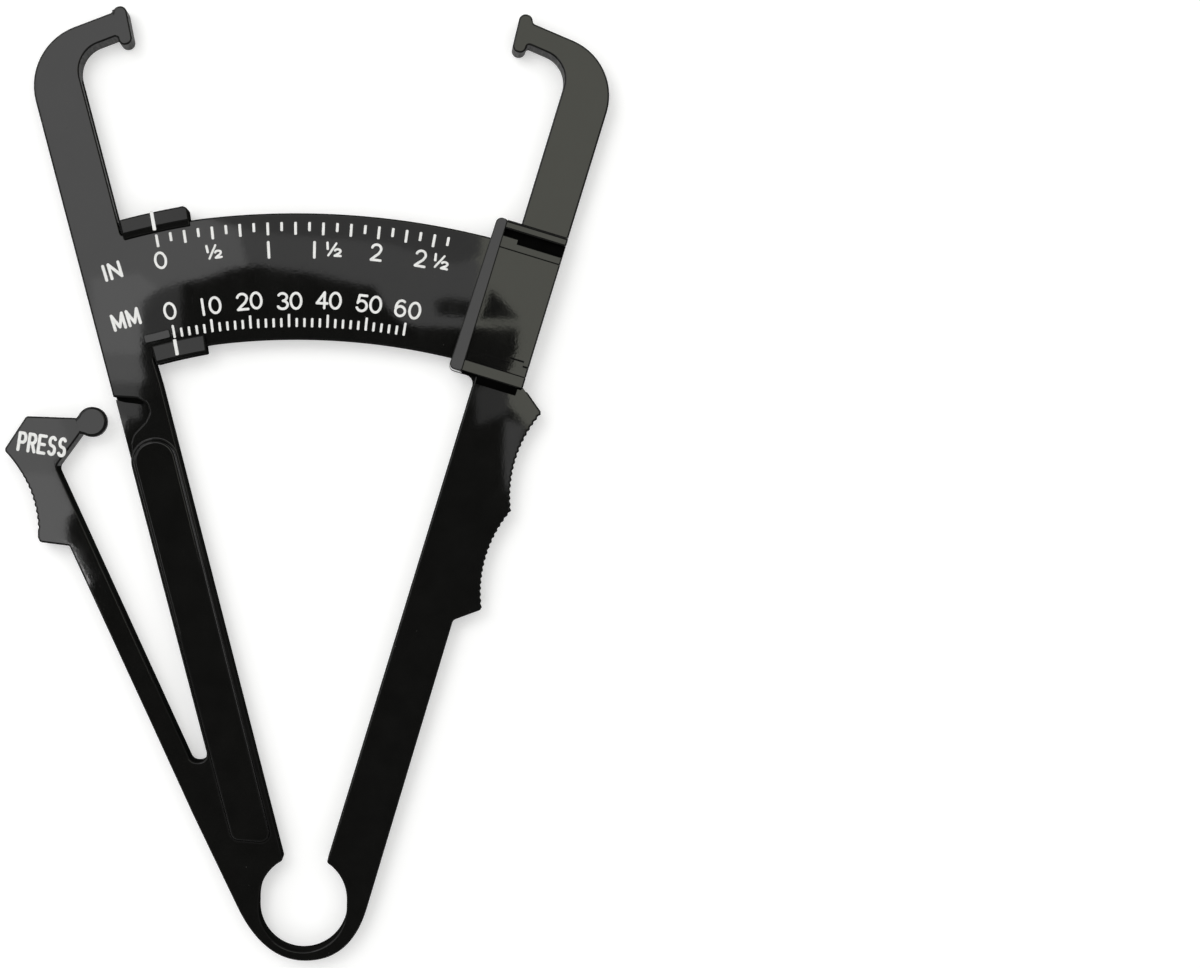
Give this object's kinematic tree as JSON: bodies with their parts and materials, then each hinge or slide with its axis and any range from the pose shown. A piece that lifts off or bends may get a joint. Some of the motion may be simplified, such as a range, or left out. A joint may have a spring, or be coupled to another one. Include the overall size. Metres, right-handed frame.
{
  "type": "skinfold caliper",
  "caption": "Hand-held skinfold caliper: hooked arms on a spring ring, curved inch and millimetre scale, memory slider, click lever.",
  "frame": {"origin": "middle of the footprint, on the surface that the open caliper lies on", "axes": "+Y along the centre line from the spring ring to the jaws, +X to the arm with the housing, +Z out of the printed face"},
  "size_m": [0.1032, 0.1644, 0.008],
  "materials": {
    "black_plastic": "moulded gloss black",
    "slider_plastic": "moulded gloss black",
    "white_marks": "white marking paint"
  },
  "bodies": {
    "left_arm": {"left_handle": "black_plastic", "handle_panel": "black_plastic", "left_arm": "black_plastic", "left_jaw": "black_plastic", "left_pad": "black_plastic", "scale_plate": "black_plastic", "spring_bow": "black_plastic", "lever_flexure": "black_plastic"},
    "right_arm": {"right_handle": "black_plastic", "finger_grip": "black_plastic", "housing_back": "black_plastic", "housing_bottom_rail": "black_plastic", "housing_front": "black_plastic", "housing_top_rail": "black_plastic", "reading_rib": "black_plastic", "right_arm": "black_plastic", "right_jaw": "black_plastic", "right_pad": "black_plastic"},
    "lever": {"press_lever": "black_plastic", "press_tab": "black_plastic", "click_ball": "black_plastic"},
    "slider": {"slider_web": "slider_plastic", "slider_top_clip": "slider_plastic", "slider_low_clip": "slider_plastic"}
  },
  "joints": [
    {"name": "arm_close", "type": "hinge", "parent": "left_arm", "child": "right_arm", "pos_m": [0.00186, -0.07298, 0.003], "axis": [0, 0, 1], "range_deg": [0, 24.69], "stiffness_Nm_per_rad": 0.5, "deforming": ["spring_bow"]},
    {"name": "lever_press", "type": "hinge", "parent": "left_arm", "child": "lever", "pos_m": [-0.02039, -0.04791, 0.003], "axis": [0, 0, -1], "range_deg": [0, 5.7], "stiffness_Nm_per_rad": 0.4, "deforming": ["lever_flexure"]},
    {"name": "slider_travel", "type": "hinge", "parent": "left_arm", "child": "slider", "pos_m": [0.00186, -0.07298, 0.003], "axis": [0, 0, 1], "range_deg": [-24.69, 0]}
  ]
}
